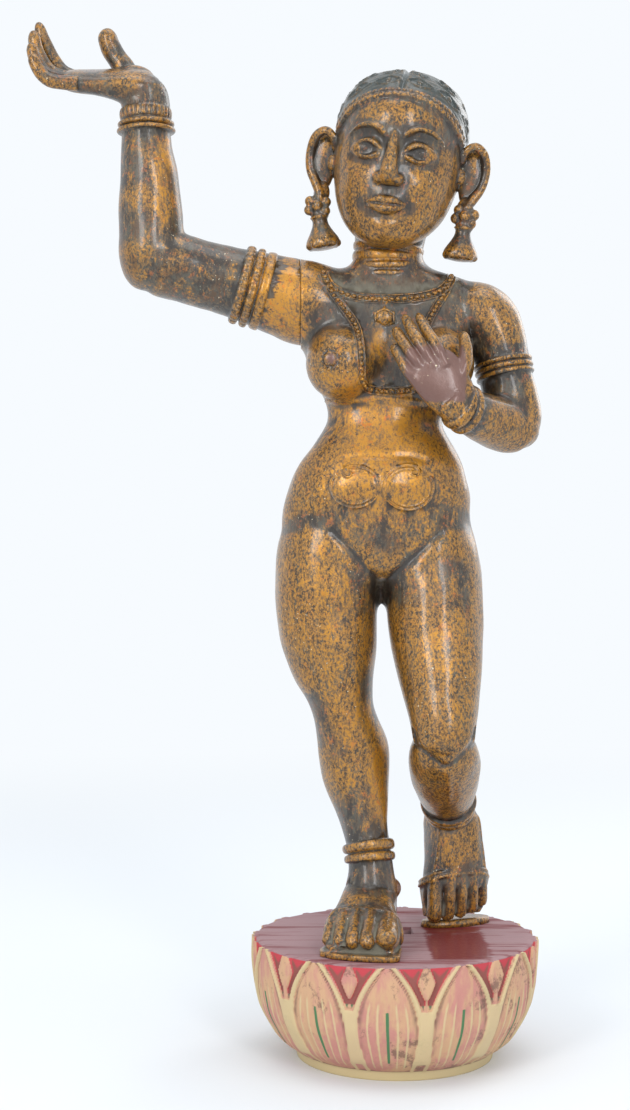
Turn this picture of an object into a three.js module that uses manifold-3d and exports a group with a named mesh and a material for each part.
// A dancing apsara carved in wood, lacquered and gilded, standing on a painted lotus plinth.
// Millimetres, +Z up. The viewer stands in front, at -Y, and the origin is the middle of the plinth's underside.
// Left and right are the viewer's. The raised arm is a piece of its own, pegged on at the shoulder.
import * as THREE from "three";
import { mergeVertices } from "three/addons/utils/BufferGeometryUtils.js";
import Module from "manifold-3d";

const wasm = await Module();
wasm.setup();

// Driving dimensions
const PLINTH_HEIGHT = 94;
const PLINTH_RADIUS = 112.8;
const PETALS = 12;
const GAP = 0.3; // between pieces that touch
const SOLE_PAD = 3; // the thin pad carved under each foot
const SOLE = PLINTH_HEIGHT + GAP + SOLE_PAD;
const SEAM_X = -75; // where the raised arm is pegged to the shoulder
const HEAD_MIDDLE = [3, -4, 711];
const HEAD_TURN = { nod: 4, lean: 8, look: -7 }; // degrees
const HAIR_DEPTH = 2.6;
const CORD_RADIUS = 2.3;
const BANGLE_RADIUS = 2.8;

const colours = {
  gilding: { color: 0x8a6a34, roughness: 0.38, metalness: 0.55 },
  paint: { color: 0xb88a72, roughness: 0.62, metalness: 0 },
};

// Small maths

const vec = (x, y, z) => new THREE.Vector3(x, y, z);
const rad = THREE.MathUtils.degToRad;
const bent = (value, power) => Math.sign(value) * Math.abs(value) ** power;
const step = (from, to, value) => THREE.MathUtils.smoothstep(value, from, to);

// Rows of numbers, each made into `steps` rows that run smoothly through the ones given.
function smoothRows(rows, steps) {
  const out = [];
  const row = (i) => rows[THREE.MathUtils.clamp(i, 0, rows.length - 1)];
  for (let i = 0; i + 1 < rows.length; i++)
    for (let s = 0; s < steps; s++) {
      const t = s / steps;
      const weights = [
        -0.5 * t + t * t - 0.5 * t ** 3,
        1 - 2.5 * t * t + 1.5 * t ** 3,
        0.5 * t + 2 * t * t - 1.5 * t ** 3,
        -0.5 * t * t + 0.5 * t ** 3,
      ];
      out.push(
        rows[i].map((_, k) =>
          weights.reduce((sum, w, j) => sum + w * row(i + j - 1)[k], 0),
        ),
      );
    }
  out.push(rows.at(-1));
  return out;
}

// Solids

// A closed skin over rings of points, each ring with the same number of points.
function skin(rings) {
  const sides = rings[0].length;
  const points = rings.flat();
  const faces = [];
  for (let r = 0; r + 1 < rings.length; r++)
    for (let s = 0; s < sides; s++) {
      const a = r * sides + s;
      const b = r * sides + ((s + 1) % sides);
      faces.push(a, b, b + sides, a, b + sides, a + sides);
    }
  const last = (rings.length - 1) * sides;
  const middles = [rings[0], rings.at(-1)].map((ring) =>
    ring.reduce((sum, p) => sum.add(p), vec(0, 0, 0)).divideScalar(sides),
  );
  points.push(...middles);
  for (let s = 0; s < sides; s++) {
    const t = (s + 1) % sides;
    faces.push(points.length - 2, t, s);
    faces.push(points.length - 1, last + s, last + t);
  }
  return new THREE.BufferGeometry().setFromPoints(points).setIndex(faces);
}

function solid(geometry) {
  const bare = geometry.clone();
  bare.deleteAttribute("normal");
  bare.deleteAttribute("uv");
  const merged = mergeVertices(bare, 1e-3);
  const corners = merged.index.array;
  const at = merged.attributes.position;
  let volume = 0;
  for (let i = 0; i < corners.length; i += 3) {
    const [a, b, c] = [0, 1, 2].map((k) =>
      vec(0, 0, 0).fromBufferAttribute(at, corners[i + k]),
    );
    volume += a.dot(b.cross(c));
  }
  const triVerts = new Uint32Array(corners);
  if (volume < 0) triVerts.reverse();
  return new wasm.Manifold(
    new wasm.Mesh({ numProp: 3, vertProperties: at.array, triVerts }),
  );
}

const joined = (solids) => solids.reduce((all, one) => all.add(one));

function geometryOf(manifold) {
  const mesh = manifold.getMesh();
  return new THREE.BufferGeometry()
    .setAttribute(
      "position",
      new THREE.BufferAttribute(mesh.vertProperties, 3),
    )
    .setIndex(new THREE.BufferAttribute(mesh.triVerts, 1));
}

// A limb along stations of [x, y, z, half width, half depth]. The width lies along `across`, and the sections are
// square to the limb, or all level.
function limb(stations, { sides = 14, across = vec(1, 0, 0), square = 1, level = false } = {}) {
  const middles = stations.map(([x, y, z]) => vec(x, y, z));
  const rings = stations.map(([, , , wide, deep], i) => {
    const ahead = middles[Math.min(i + 1, middles.length - 1)];
    const behind = middles[Math.max(i - 1, 0)];
    const along = level ? vec(0, 0, 1) : ahead.clone().sub(behind).normalize();
    const side = across.clone().addScaledVector(along, -across.dot(along));
    side.normalize();
    const front = along.clone().cross(side);
    return Array.from({ length: sides }, (_, s) => {
      const turn = (2 * Math.PI * s) / sides;
      return middles[i]
        .clone()
        .addScaledVector(side, wide * bent(Math.cos(turn), square))
        .addScaledVector(front, deep * bent(Math.sin(turn), square));
    });
  });
  return skin(rings);
}

// The stations of a limb with raised bands round it. Each band is [from, to, lift], and its ends are values of
// the coordinate `key` (0 for x, 1 for y, 2 for z), which has to rise or fall all the way along the limb.
function banded(stations, key, bands) {
  const way = Math.sign(stations.at(-1)[key] - stations[0][key]);
  const reach = (station) => way * station[key];
  const at = (value, lift) => {
    const i = Math.max(1, stations.findIndex((one) => reach(one) >= way * value));
    const [before, after] = [stations[i - 1], stations[i]];
    const t = (value - before[key]) / (after[key] - before[key]);
    return before.map(
      (start, k) => THREE.MathUtils.lerp(start, after[k], t) + (k > 2 ? lift : 0),
    );
  };
  const clear = (station) =>
    bands.every(([from, to]) => way * (station[key] - from) < -1.5 || way * (station[key] - to) > 1.5);
  const rings = stations.filter(clear);
  for (const [from, to, lift] of bands)
    rings.push(
      at(from - 0.5 * way, 0),
      at(from + 0.5 * way, lift),
      at(to - 0.5 * way, lift),
      at(to + 0.5 * way, 0),
    );
  return rings.sort((one, other) => reach(one) - reach(other));
}

// A limb that ends in a round tip, such as a finger: from and to are [x, y, z], with bends between.
function finger(path, thick, thin, sides = 6) {
  const curve = new THREE.CatmullRomCurve3(path.map((p) => vec(...p)));
  const shares = [0, 0.4, 0.78, 0.94, 1];
  const fills = [1, 1, 1, 0.78, 0.3];
  const stations = shares.map((t, i) => {
    const radius = THREE.MathUtils.lerp(thick, thin, t) * fills[i];
    return [...curve.getPoint(t).toArray(), radius, radius];
  });
  return limb(stations, { sides, across: vec(0.31, 0.9, 0.3) });
}

function ball([x, y, z], [a, b, c], { wide = 16, high = 10 } = {}) {
  return new THREE.SphereGeometry(1, wide, high)
    .rotateX(Math.PI / 2)
    .scale(a, b, c)
    .translate(x, y, z);
}

// A ring of round wire along closed points.
function wireRing(points, radius, sides = 4) {
  const loop = new THREE.CatmullRomCurve3(points, true);
  const count = points.length;
  const frames = loop.computeFrenetFrames(count, true);
  const rings = Array.from({ length: count }, (_, i) => {
    const middle = loop.getPointAt(i / count);
    return Array.from({ length: sides }, (_, s) => {
      const turn = (2 * Math.PI * s) / sides;
      return middle
        .clone()
        .addScaledVector(frames.normals[i], radius * Math.cos(turn))
        .addScaledVector(frames.binormals[i], radius * Math.sin(turn));
    });
  });
  const pointsOut = rings.flat();
  const faces = [];
  for (let r = 0; r < count; r++)
    for (let s = 0; s < sides; s++) {
      const next = ((r + 1) % count) * sides;
      const t = (s + 1) % sides;
      faces.push(r * sides + s, r * sides + t, next + t);
      faces.push(r * sides + s, next + t, next + s);
    }
  return new THREE.BufferGeometry().setFromPoints(pointsOut).setIndex(faces);
}

// The plinth: a bowl of lotus petals, carved in low relief

const BOWL = [
  // height, radius
  [0, 78],
  [5.5, 79.5],
  [8, 81],
  [17, 93],
  [29, 101],
  [42, 107.5],
  [54, 110.4],
  [65, 112],
  [76, PLINTH_RADIUS],
  [86, PLINTH_RADIUS],
  [PLINTH_HEIGHT, PLINTH_RADIUS],
];
const PETAL_STEP = (2 * Math.PI) / PETALS;
const PETAL_TURN = -5; // degrees that the front petal is off the middle
const PETAL_FOOT = 7; // the height at which the petals begin
const PETAL_RELIEF = 2.4;
const PETAL_BAND = 0.065; // the raised band that outlines a petal, as a share of the petal's step
const PEG_HOLE = { depth: 24, corners: [[-6, 1], [15, 1], [14.5, 26], [9, 27], [-6, 15]] };

// Half the width of a petal as a share of its step, at a share of its height: full below, a pointed arch above.
function petalHalf(t) {
  const arch = Math.max(0, (t - 0.42) / 0.58);
  return 0.4 * (1 - 0.92 * arch ** 2.1) * Math.min(1, 0.86 + 0.4 * t);
}

// The columns of half a petal step: each has its place as a share of the step and how far it stands out.
function petalColumns(t) {
  const half = petalHalf(t);
  const relief = PETAL_RELIEF * (0.35 + 0.65 * t);
  const bud = 0.5 - 0.15 * THREE.MathUtils.clamp((t - 0.6) / 0.25, 0, 1);
  const most = (share) => Math.min(share, 0.497);
  return [
    [0, 0.1 * relief],
    [half, -0.5 * relief],
    [most(half + 0.03), relief],
    [most(half + PETAL_BAND), 0.85 * relief],
    [most(Math.max(half + PETAL_BAND + 0.03, bud)), bud > 0.49 ? 0.8 * relief : -0.7 * relief],
    [0.5, bud > 0.49 ? 0.8 * relief : 0.2 * relief],
  ];
}

function lotusPlinth() {
  const rings = smoothRows(BOWL, 1).map(([height, radius]) => {
    const t = Math.max(0, (height - PETAL_FOOT) / (PLINTH_HEIGHT - PETAL_FOOT));
    const columns = height < PETAL_FOOT ? petalColumns(0).map(([share]) => [share, 0]) : petalColumns(t);
    const step = [
      ...columns.slice(1, -1).map(([share, out]) => [-share, out]).reverse(),
      ...columns,
    ];
    const ring = [];
    for (let petal = 0; petal < PETALS; petal++)
      for (const [share, out] of step) {
        const turn = (petal + share) * PETAL_STEP - Math.PI / 2 + rad(PETAL_TURN);
        ring.push(vec((radius + out) * Math.cos(turn), (radius + out) * Math.sin(turn), height));
      }
    return ring;
  });
  const outline = new THREE.Shape(PEG_HOLE.corners.map(([x, y]) => new THREE.Vector2(x, y)));
  const hole = new THREE.ExtrudeGeometry(outline, {
    depth: 2 * PEG_HOLE.depth,
    bevelEnabled: false,
  }).translate(0, 0, PLINTH_HEIGHT - PEG_HOLE.depth);
  return solid(skin(rings)).subtract(solid(hole));
}

// The body

const TRUNK = [
  // height, middle x, middle y, half width, half depth
  [373, -12, 5, 18, 22],
  [382, -14, 7, 46, 37],
  [393, -15.5, 9, 67, 46],
  [410, -16, 8, 74.5, 49],
  [432, -14.6, 4, 75, 50],
  [460, -12.4, -3, 69.5, 45],
  [474, -10.8, -5, 63, 39.5],
  [490, -9.2, -4.5, 53, 33.5],
  [505, -8.2, -3, 45.5, 30],
  [532, -6, -1.5, 55, 32.5],
  [552, -5.4, 0, 65, 37],
  [574, -4.5, 2, 69, 38],
  [592, -2, 4.5, 72, 37],
  [605, 0, 5.5, 71, 33],
  [614, 0, 5.5, 66, 29.5],
  [625, -3, 5, 39, 26],
  [630, -5, 5, 29, 25],
];
const NECK = [
  [-5.5, 6, 605, 27.5, 28],
  [-5.5, 5, 626, 27.5, 28],
  [-5.2, 4.5, 638, 27, 27],
  [-2.5, 4, 660, 29, 28],
  [1, 3, 674, 28, 28],
];
const NECK_FOLDS = [
  [620, 623.5, 2],
  [627, 631, 2],
  [634.5, 638, 1.5],
  [641.5, 645, 1],
];
const STANDING_LEG = [
  [-44, 6, 452, 24, 30],
  [-49, 7, 426, 37, 43],
  [-54.3, 5, 372, 41.3, 45.5],
  [-54.3, 2.5, 350, 40.3, 43],
  [-52, -1, 330, 38.5, 40],
  [-44.4, -6.5, 290, 27.6, 31],
  [-41.2, -7, 274, 24.5, 28],
  [-37.5, -5.5, 260, 25.6, 27.5],
  [-33.7, -2.5, 245, 28.4, 29],
  [-29.6, -1, 215, 25.8, 28.5],
  [-26.6, -4, 198, 21.6, 25],
  [-21.4, -11.5, 168, 17.4, 19],
  [-19.6, -15.5, 150, 17.8, 19.5],
  [-19.6, -20, 120, 20.8, 25],
];
const BENT_THIGH = [
  [18, 6, 452, 24, 30],
  [24, 7, 426, 34, 42],
  [31, 2, 378, 39, 44],
  [32, -8, 350, 38.4, 41],
  [34.6, -27, 304, 33, 34],
  [35.8, -36, 281, 28.6, 29.5],
  [36.2, -42, 264, 25.6, 27],
  [36.4, -46, 250, 22.5, 24],
  [36.4, -49, 240, 13, 14],
];
const BENT_SHIN = [
  [36, -52, 256, 17, 16],
  [36.6, -38, 247, 25, 24],
  [38.3, -22, 236, 28, 27],
  [40.3, -5, 222, 27.5, 27],
  [42.6, 10, 209, 24, 24],
  [44.6, 21, 199.5, 20.5, 21],
  [46.2, 30, 191.5, 18.5, 19],
  [47.6, 38, 184, 18, 18.5],
  [49, 46, 176, 17, 17],
];
const FOOT = [
  // from the heel forwards: distance, half width, height
  [0, 7, 16],
  [4, 15, 30],
  [12, 20, 42],
  [26, 21.5, 48],
  [44, 23.5, 40],
  [61, 27.5, 29],
  [63, 29.5, 30.5],
  [68, 30, 27.5],
  [70, 29.3, 23],
  [78, 29, 17.5],
  [84, 26, 13],
];
const TOES = [
  // from the big toe outwards: distance across, start, tip, radius
  [20.5, 66, 98.5, 8.2],
  [6.4, 70, 98, 6],
  [-5, 69, 95.5, 5.6],
  [-15.6, 66, 91.5, 5.3],
  [-24.6, 62, 86, 4.9],
];

const STANDING_HEEL = [-17, 5, SOLE];
const STANDING_TOE_OUT = -8.5; // degrees
const ANKLE_BONE = { middle: [-2, -15, 134], size: [6.5, 7, 8] };
const TIPTOE = 66; // degrees that the bent leg's foot points down
const TIPTOE_OUT = 22;
const TIPTOE_PLACE = [52, 37, SOLE - 2]; // where its toes touch

// A foot along -Y from a heel at the origin, standing on z = 0. `side` is 1 with the big toe at +X.
function foot(side) {
  const sides = 10;
  const rings = FOOT.map(([along, wide, high]) =>
    Array.from({ length: sides }, (_, s) => {
      const turn = (2 * Math.PI * (s + 0.5)) / sides;
      const up = 0.5 + 0.5 * bent(Math.sin(turn), 0.8);
      const flare = 1 + 0.12 * (1 - up);
      return vec(wide * flare * bent(Math.cos(turn), 0.8), -along, high * up);
    }),
  );
  const toes = TOES.map(([across, start, tip, radius]) => {
    const x = side * across;
    return finger(
      [
        [0.8 * x, -start, radius * 1.35],
        [x, -(start + tip) / 2, radius * 1.3],
        [x * 1.04, -tip, radius * 0.72],
      ],
      radius,
      radius * 0.92,
    );
  });
  return joined([solid(skin(rings)), ...toes.map(solid)]);
}

const turned = (manifold, matrix) => manifold.transform(matrix.elements);

function standingFoot() {
  const place = new THREE.Matrix4()
    .makeTranslation(...STANDING_HEEL)
    .multiply(new THREE.Matrix4().makeRotationZ(rad(STANDING_TOE_OUT)));
  const outline = new THREE.Shape([
    new THREE.Vector2(-13, -2),
    new THREE.Vector2(13, -2),
    new THREE.Vector2(22, 24),
    new THREE.Vector2(30, 70),
    new THREE.Vector2(31.5, 98),
    new THREE.Vector2(20, 101.5),
    new THREE.Vector2(-4, 99.5),
    new THREE.Vector2(-20, 94),
    new THREE.Vector2(-31.5, 84),
    new THREE.Vector2(-30, 66),
    new THREE.Vector2(-22, 24),
  ]);
  const slab = new THREE.ExtrudeGeometry(outline, {
    depth: SOLE_PAD + 0.5,
    bevelEnabled: false,
  })
    .scale(1, -1, 1)
    .translate(0, 0, -SOLE_PAD);
  return turned(foot(1).add(solid(slab)), place);
}

function tiptoeFoot() {
  const reach = TOES[0][2];
  const place = new THREE.Matrix4()
    .makeTranslation(...TIPTOE_PLACE)
    .multiply(new THREE.Matrix4().makeRotationZ(rad(TIPTOE_OUT)))
    .multiply(new THREE.Matrix4().makeRotationX(rad(TIPTOE)))
    .multiply(new THREE.Matrix4().makeTranslation(0, reach, 0));
  const pad = new THREE.CylinderGeometry(1, 1, SOLE_PAD + 2.5, 20)
    .rotateX(Math.PI / 2)
    .scale(31, 14, 1)
    .rotateZ(rad(TIPTOE_OUT))
    .translate(TIPTOE_PLACE[0], TIPTOE_PLACE[1] + 3, SOLE - SOLE_PAD / 2 + 1.25);
  return turned(foot(-1), place).add(solid(pad));
}

// Arms and hands

const RAISED_UPPER_ARM = [
  [-40, 3, 594, 30, 30],
  [-62, 2, 598, 33.5, 33],
  [-76, 1, 601, 34, 33],
  [-110, -2, 610.5, 29.5, 29],
  [-152, -6, 621.5, 26.5, 27],
  [-186, -9, 630, 26, 26.5],
  [-198, -10, 632, 21, 22],
  [-205, -10, 633, 10, 11],
];
const RAISED_FOREARM = [
  [-191, -10, 610, 10, 11],
  [-192, -10, 617, 20, 21],
  [-193.5, -10, 632, 25.4, 26],
  [-194.5, -12, 676, 25, 25],
  [-195.5, -12, 700, 22.8, 23],
  [-197.3, -12, 722, 20.2, 20.5],
  [-198, -12, 742, 19, 18.5],
  [-198.5, -11.5, 758, 19, 18],
  [-200, -11, 768, 17, 18],
  [-201, -11, 775, 12, 14],
];
const RAISED_PALM = [
  // half width across the palm, half its thickness
  [-188, -10, 768, 13, 8],
  [-196, -10, 768, 19, 13],
  [-208, -9.5, 770, 22, 14],
  [-222, -9, 773, 23, 11.5],
  [-238, -9, 774.5, 23, 9],
  [-252, -9, 775.5, 22, 8.2],
  [-262, -9, 777, 19, 6.5],
];
const PALM_TILT = 24; // degrees that the palm turns towards the viewer
const RAISED_FINGERS = [
  // base, knuckle, tip of each finger from the little finger back to the index
  [[-254, -27, 768.5], [-272, -29, 770.5], [-282, -30, 781], [-285.5, -30, 790.5]],
  [[-255, -16, 773], [-274, -17, 777.5], [-285, -18, 790], [-288, -18, 803]],
  [[-255, -4, 777.5], [-273, -4, 783], [-285, -5, 799], [-288.5, -5, 816]],
  [[-254, 8, 781.5], [-268, 8, 788], [-279, 8, 805], [-286.5, 7, 826.5]],
];
const THUMB_MOUND = { middle: [-209, 3, 779], size: [17, 13, 12] };
const RAISED_THUMB = [[-206, 8, 772], [-217, 10, 790], [-228, 10, 806], [-232.5, 9, 821]];

const RAISED_ARM_BANDS = [
  [-102, -109.5, 1.8],
  [-113, -118, 3.2],
  [-120, -125, 3.2],
];
const RAISED_WRIST_BANDS = [
  [733, 736.5, 4],
  [738.5, 742, 3.4],
  [742.6, 752, 1.8],
];

function raisedArm() {
  const upper = limb(banded(RAISED_UPPER_ARM, 0, RAISED_ARM_BANDS), {
    sides: 16,
    across: vec(0, 0, 1),
  });
  const lower = limb(banded(RAISED_FOREARM, 2, RAISED_WRIST_BANDS), { sides: 14 });
  const tilt = rad(PALM_TILT);
  const palm = limb(RAISED_PALM, {
    sides: 12,
    across: vec(0, -Math.cos(tilt), -Math.sin(tilt)),
    square: 0.8,
  });
  const fingers = RAISED_FINGERS.map((path, i) => finger(path, 6.4, i ? 5 : 4.4));
  const thumb = finger(RAISED_THUMB, 9.5, 8.2);
  const mound = ball(THUMB_MOUND.middle, THUMB_MOUND.size, { wide: 12, high: 8 });
  return joined([upper, lower, palm, ...fingers, thumb, mound].map(solid));
}

const FOLDED_UPPER_ARM = [
  [34, 5, 596, 14, 20],
  [52, 5, 595, 20.5, 25],
  [66, 3.5, 592.5, 24.5, 27.5],
  [75, 2, 585, 25.2, 28],
  [81, 0, 573, 24, 26],
  [85, -2, 558, 22.2, 23],
  [88.5, -4, 541, 21.4, 22],
  [95.5, -8, 508, 21.4, 21.5],
  [97, -9, 496, 18, 18],
  [97.5, -10, 487, 11, 11],
];
const FOLDED_FOREARM = [
  [108, -4, 491, 9, 9],
  [101, -9, 496, 17.5, 17],
  [89, -16, 499.5, 21, 20.5],
  [75, -29, 503, 20.4, 20],
  [62, -44, 506.5, 18.6, 17.5],
  [50, -57, 511, 17.5, 14.5],
  [43, -63, 516, 17, 12.5],
  [38, -67, 521, 14, 10],
];
const FOLDED_PALM = [
  [50, -57, 508, 12, 9],
  [45.5, -62, 514, 17, 11.5],
  [40, -66, 521.5, 20.5, 10.5],
  [33, -69, 531, 22.5, 9],
  [26, -69.5, 541, 22, 8],
  [20, -67.5, 549, 17, 6],
];
const PALM_ACROSS = [0.83, 0.1, 0.55];
const FOLDED_FINGERS = [
  // from the little finger to the index
  [[10, -68, 532], [5, -66, 541], [0, -60, 551], [-3.5, -52, 559]],
  [[15, -69, 540], [9, -66, 551], [2, -57, 563], [-2.5, -49, 573]],
  [[22, -68, 546], [16, -64, 559], [9, -54, 573], [5, -46, 583]],
  [[33, -67, 543], [28, -64, 556], [21, -55, 571], [16, -46, 583.5]],
];
const FOLDED_THUMB = [[43, -66, 527], [50, -66, 541], [52, -60, 555], [50, -53, 570]];
const FOLDED_ARM_BANDS = [
  [552.5, 549, 2],
  [548, 544.5, 2],
  [543.5, 540, 2],
];
const FOLDED_WRIST_BANDS = [
  [53.5, 50, 2],
  [48.5, 45, 2.2],
];
const ANKLET = [
  [170, 162.5, 3.6],
  [161, 155, 3.2],
];
const BENT_ANKLET = [
  [22, 27, 3.2],
  [28.2, 33, 3],
];

// The head, about its own middle, facing -Y

const HEAD = [
  // height, middle y, half width, half depth
  [-70, -31, 12, 12],
  [-65, -29, 23, 20],
  [-55, -22, 34, 31],
  [-42, -14, 42, 40.5],
  [-8, -2, 50.5, 54],
  [10, 1, 51.5, 57],
  [28, 3, 51, 58],
  [42, 4, 48, 54.5],
  [63, 5, 31, 35.5],
  [68, 5, 19, 21],
  [70.5, 5, 5, 6],
];
const HAIRLINE = { y: -50, z: 42, tilt: -39 }; // where the hair begins over the brow, and how it slopes back
const HAIR_BAND = 7;
const BUN = { middle: [0, 60, -20], size: [27, 19, 22] };
const EYE = { x: 20, y: -47, z: 2, size: [11, 6, 4.6] };
const EAR = { x: 59, y: -4, z: -9, size: [12, 7, 27] };
const EARRING_DROPS = { left: -33, right: -28 };
const EARRING_LEAN = 8; // degrees against the head's own lean, so that the earrings hang nearly plumb

function headPlace() {
  const turn = new THREE.Euler(
    rad(HEAD_TURN.nod),
    rad(HEAD_TURN.lean),
    rad(HEAD_TURN.look),
  );
  return new THREE.Matrix4()
    .makeTranslation(...HEAD_MIDDLE)
    .multiply(new THREE.Matrix4().makeRotationFromEuler(turn));
}

const skull = (grow) =>
  limb(
    HEAD.map(([z, y, wide, deep]) => [0, y, z + (z > 60 ? grow : 0), wide + grow, deep + grow]),
    { sides: 18, level: true },
  );

// Half of all space, as a big block, above a plane that slopes down towards the back of the head.
function aboveHairline(offset) {
  const size = 400;
  return new THREE.BoxGeometry(size, size, size)
    .translate(0, 0, size / 2 + offset)
    .rotateX(rad(HAIRLINE.tilt))
    .translate(0, HAIRLINE.y, HAIRLINE.z);
}

function hair() {
  const cap = solid(skull(HAIR_DEPTH)).intersect(solid(aboveHairline(0)));
  const band = solid(skull(HAIR_DEPTH + 1.6))
    .intersect(solid(aboveHairline(-HAIR_BAND / 2)))
    .subtract(solid(aboveHairline(HAIR_BAND / 2)));
  return joined([cap, band, solid(ball(BUN.middle, BUN.size, { wide: 12, high: 8 }))]);
}

function face() {
  const nose = limb(
    [
      [0, -52, 16, 4, 4],
      [0, -57, 6, 4.2, 5],
      [0, -60, -8, 5.4, 6.5],
      [0, -61.5, -19, 7, 7.5],
      [0, -58, -26, 6, 5],
    ],
    { sides: 8 },
  );
  const forms = [nose];
  for (const side of [-1, 1]) {
    forms.push(ball([side * 7, -56.5, -21.5], [4.6, 5.4, 4.4], { wide: 7, high: 5 }));
    forms.push(ball([side * EYE.x, EYE.y, EYE.z], EYE.size, { wide: 10, high: 6 }));
  }
  forms.push(ball([0, -50.5, -37], [13, 7.4, 3], { wide: 10, high: 5 }));
  forms.push(ball([0, -48.5, -42.5], [10.5, 7.6, 3.6], { wide: 10, high: 5 }));
  forms.push(ball([0, -40, -60], [13, 12, 9.5], { wide: 10, high: 6 }));
  return forms.map(solid);
}

// An ear that stands out sideways, with its heavy earring: a cluster of beads over a bell.
function ear(side) {
  const shell = ball([side * EAR.x, EAR.y, EAR.z], EAR.size, { wide: 10, high: 8 });
  const lobe = limb(
    [
      [side * (EAR.x - 1), EAR.y, EAR.z - 16, 7, 5],
      [side * (EAR.x - 1), EAR.y - 1, EAR.z - 27, 6, 5],
      [side * (EAR.x - 1), EAR.y - 2, EAR.z - 37, 6, 5],
    ],
    { sides: 6 },
  );
  const hang = (geometry) =>
    geometry
      .rotateY(rad(side < 0 ? -2 * EARRING_LEAN : 0))
      .translate(side * EAR.x, EAR.y - 3, EAR.z + (side < 0 ? EARRING_DROPS.left : EARRING_DROPS.right));
  const cluster = hang(ball([0, 0, 0], [10.5, 8, 9], { wide: 8, high: 6 }));
  const bell = hang(
    new THREE.LatheGeometry(
      [
        [0, -4],
        [6.5, -5],
        [7.5, -15],
        [13.4, -26],
        [13.4, -32],
        [0, -37],
      ].map(([radius, z]) => new THREE.Vector2(radius, -z)),
      10,
    ).rotateX(-Math.PI / 2),
  );
  return joined([shell, lobe, cluster, bell].map(solid));
}

const head = () =>
  turned(joined([solid(skull(0)), hair(), ...face(), ear(-1), ear(1)]), headPlace());

// Jewellery on the chest

const BREASTS = [
  { middle: [-42.5, -28, 548], size: [28.5, 31, 29.5] },
  { middle: [33, -26, 548], size: [28.5, 31, 29.5] },
];
const NIPPLE = [-51.5, -57, 549];
const COLLAR = [
  // x and z over the front, then over the back
  [
    [-58, 620],
    [-54, 612],
    [-45, 605],
    [-30, 600.5],
    [-6, 598.5],
    [18, 600.5],
    [33, 605],
    [42, 612],
    [46, 619],
  ],
  [
    [40, 621],
    [22, 623],
    [-6, 622],
    [-34, 623],
    [-52, 621],
  ],
];
const CHEST_GEM = { x: -9.5, z: 583.5, radius: 8 };
const LONG_CORD = [
  // x and z over the front, from the viewer's left shoulder round to the right
  [-56, 626],
  [-50, 608],
  [-38, 588],
  [-30, 568],
  [-27, 548],
  [-24, 532],
  [-15, 525.5],
  [-3, 524],
  [9, 525.5],
  [18, 532],
  [21, 548],
  [24, 568],
  [32, 588],
  [44, 608],
  [50, 625],
];

// A point on a body, found by looking at it from the front (from = -1) or from the back (from = 1).
function onSurface(mesh, [x, z], from = -1) {
  const caster = new THREE.Raycaster(vec(x, from * 500, z), vec(0, -from, 0));
  const hit = caster.intersectObject(mesh)[0];
  return hit ? hit.point : null;
}

function cordAlong(points, closed, count) {
  const curve = new THREE.CatmullRomCurve3(points, closed);
  const path = curve.getSpacedPoints(count);
  if (closed) return wireRing(path.slice(0, -1), CORD_RADIUS);
  return limb(
    path.map((p) => [...p.toArray(), CORD_RADIUS, CORD_RADIUS]),
    { sides: 4, across: vec(0.3, 1, 0) },
  );
}

function chestJewellery(chest) {
  const mesh = new THREE.Mesh(chest, new THREE.MeshBasicMaterial());
  const lay = (points, from) => points.map((p) => onSurface(mesh, p, from)).filter(Boolean);
  const collar = cordAlong([...lay(COLLAR[0], -1), ...lay(COLLAR[1], 1)], true, 22);
  const cord = cordAlong(lay(LONG_CORD), false, 22);
  const place = onSurface(mesh, [CHEST_GEM.x, CHEST_GEM.z]).toArray();
  const gem = ball(place, [CHEST_GEM.radius, 3.5, CHEST_GEM.radius - 1], { wide: 8, high: 6 });
  const [x, y, z] = NIPPLE;
  const nipple = ball([x, y, z], [6.5, 3, 6.5], { wide: 8, high: 6 });
  return [collar, cord, gem, nipple].map(solid);
}

// Assembly

const BUTTOCKS = [
  { middle: [-47, 27, 400], size: [36, 33, 36] },
  { middle: [19, 27, 400], size: [36, 33, 36] },
];

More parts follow.
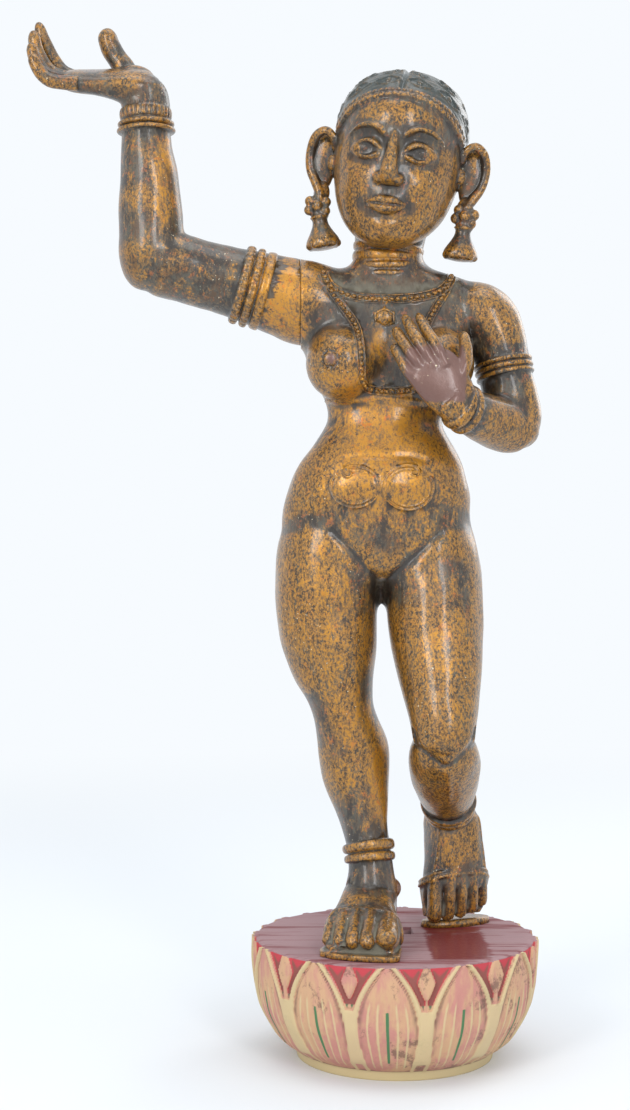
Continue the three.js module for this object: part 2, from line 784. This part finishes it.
function figure() {
  const form = ({ middle, size }) => solid(ball(middle, size, { wide: 12, high: 8 }));
  const trunk = solid(
    limb(
      TRUNK.map(([z, x, y, wide, deep]) => [x, y, z, wide, deep]),
      { sides: 20, square: 0.9, level: true },
    ),
  );
  const chest = joined([trunk, solid(limb(banded(NECK, 2, NECK_FOLDS), { sides: 16 })), ...BREASTS.map(form)]);
  const standing = limb(banded(STANDING_LEG, 2, ANKLET), { sides: 14 });
  const thigh = limb(BENT_THIGH, { sides: 14 });
  const shin = limb(banded(BENT_SHIN, 1, BENT_ANKLET), { sides: 12 });
  const upper = limb(banded(FOLDED_UPPER_ARM, 2, FOLDED_ARM_BANDS), {
    sides: 14,
    across: vec(0.7, 0, 0.7),
  });
  const lower = limb(banded(FOLDED_FOREARM, 0, FOLDED_WRIST_BANDS), {
    sides: 12,
    across: vec(0, 0, 1),
  });
  const palm = limb(FOLDED_PALM, { sides: 12, across: vec(...PALM_ACROSS), square: 0.85 });
  const fingers = FOLDED_FINGERS.map((path) => finger(path, 5.6, 4.4));
  const thumb = finger(FOLDED_THUMB, 6.4, 5.2);
  const limbs = [standing, thigh, shin, upper, lower, palm, ...fingers, thumb];
  return joined([
    chest,
    ...BUTTOCKS.map(form),
    solid(ball(ANKLE_BONE.middle, ANKLE_BONE.size, { wide: 10, high: 6 })),
    ...limbs.map(solid),
    standingFoot(),
    tiptoeFoot(),
    head(),
    ...chestJewellery(geometryOf(chest)),
  ]);
}

// Everything on the raised arm's side of the shoulder seam, short of it by `inset`.
function beyondSeam(inset) {
  const size = 600;
  return solid(
    new THREE.BoxGeometry(size, size, size).translate(
      SEAM_X - size / 2 - inset,
      0,
      480 + size / 2,
    ),
  );
}

function part() {
  const arm = raisedArm();
  const body = joined([figure(), arm.subtract(beyondSeam(0))]).subtract(beyondSeam(0));
  const pieces = {
    figure: [body, colours.gilding],
    raised_arm: [arm.intersect(beyondSeam(GAP)), colours.gilding],
    lotus_plinth: [lotusPlinth(), colours.paint],
  };
  const group = new THREE.Group();
  for (const [name, [manifold, look]] of Object.entries(pieces)) {
    const mesh = new THREE.Mesh(
      geometryOf(manifold),
      new THREE.MeshStandardMaterial(look),
    );
    mesh.name = name;
    group.add(mesh);
  }
  return group;
}

export default part();
